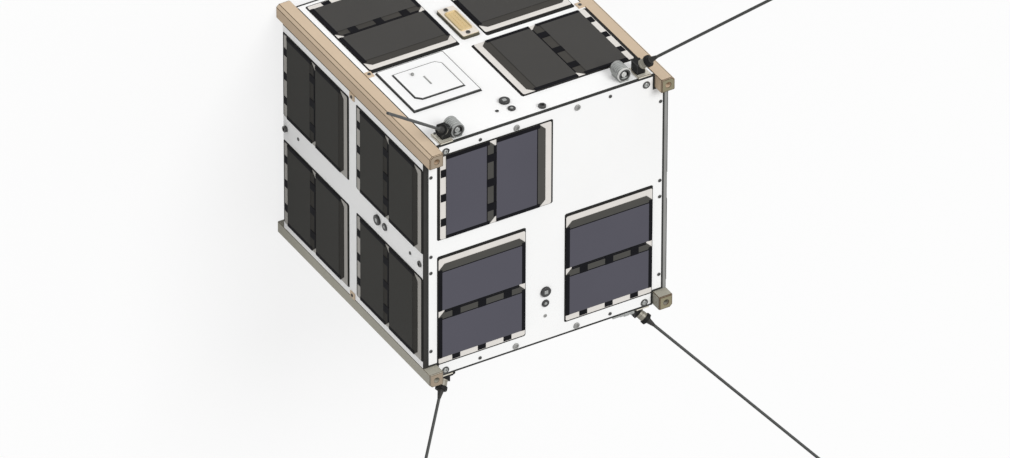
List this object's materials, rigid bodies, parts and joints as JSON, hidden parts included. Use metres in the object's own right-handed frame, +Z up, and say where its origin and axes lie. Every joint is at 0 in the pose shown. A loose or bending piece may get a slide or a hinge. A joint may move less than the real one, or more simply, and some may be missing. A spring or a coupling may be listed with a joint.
{
  "type": "cube satellite",
  "caption": "Box-shaped small satellite on corner rails, with body-mounted solar modules on its faces, patch antennas and canted whip antennas beside its antenna plate.",
  "frame": {"origin": "on the floor, in the middle of the four rail feet", "axes": "+Z up through the antenna plate; +Y towards the back face, which has the umbilical connector; +X to the right of it"},
  "size_m": [0.3732, 0.4474, 0.3096],
  "materials": {
    "rail_aluminium": "chromate conversion, satin tan",
    "panel_white": "matte white",
    "panel_grey": "matte pale grey",
    "board_cream": "matte cream laminate",
    "cell_glass": "dark cell under cover glass",
    "strip_black": "black insulated foil",
    "patch_white": "matte white dielectric",
    "gold_plate": "gold plated, satin",
    "sensor_black": "black anodised housing",
    "shoe_metal": "chromate conversion",
    "block_black": "machined black polymer",
    "connector_steel": "turned stainless",
    "whip_steel": "drawn stainless",
    "equipment_grey": "plain mass"
  },
  "bodies": {
    "root": {"antenna_block_left_back": "block_black", "antenna_block_left_front": "block_black", "antenna_block_right_back": "block_black", "antenna_block_right_front": "block_black", "antenna_connector_left_back": "connector_steel", "antenna_connector_left_front": "connector_steel", "antenna_connector_right_back": "connector_steel", "antenna_connector_right_front": "connector_steel", "antenna_shoe_left_back": "shoe_metal", "antenna_shoe_left_front": "shoe_metal", "antenna_shoe_right_back": "shoe_metal", "antenna_shoe_right_front": "shoe_metal", "antenna_whip_left_back": "whip_steel", "antenna_whip_left_front": "whip_steel", "antenna_whip_right_back": "whip_steel", "antenna_whip_right_front": "whip_steel", "cell_strips_back": "strip_black", "cell_strips_base": "strip_black", "cell_strips_front": "strip_black", "cell_strips_left": "strip_black", "cell_strips_right": "strip_black", "cell_strips_top": "strip_black", "equipment_block": "equipment_grey", "panel_back": "panel_white", "panel_base": "panel_white", "panel_front": "panel_white", "panel_left": "panel_grey", "panel_right": "panel_grey", "panel_top": "panel_white", "patch_base_back": "patch_white", "patch_base_front": "patch_white", "patch_element_back": "patch_white", "patch_element_front": "patch_white", "rail_left_back": "rail_aluminium", "rail_left_front": "rail_aluminium", "rail_right_back": "rail_aluminium", "rail_right_front": "rail_aluminium", "solar_boards_back": "board_cream", "solar_boards_base": "board_cream", "solar_boards_front": "board_cream", "solar_boards_left": "board_cream", "solar_boards_right": "board_cream", "solar_boards_top": "board_cream", "solar_cells_back": "cell_glass", "solar_cells_base": "cell_glass", "solar_cells_front": "cell_glass", "solar_cells_left": "cell_glass", "solar_cells_right": "cell_glass", "solar_cells_top": "cell_glass", "sun_sensor_back": "sensor_black", "sun_sensor_base": "sensor_black", "sun_sensor_front": "sensor_black", "sun_sensor_left": "sensor_black", "sun_sensor_right": "sensor_black", "sun_sensor_top": "sensor_black", "umbilical_connector": "gold_plate"}
  },
  "joints": []
}
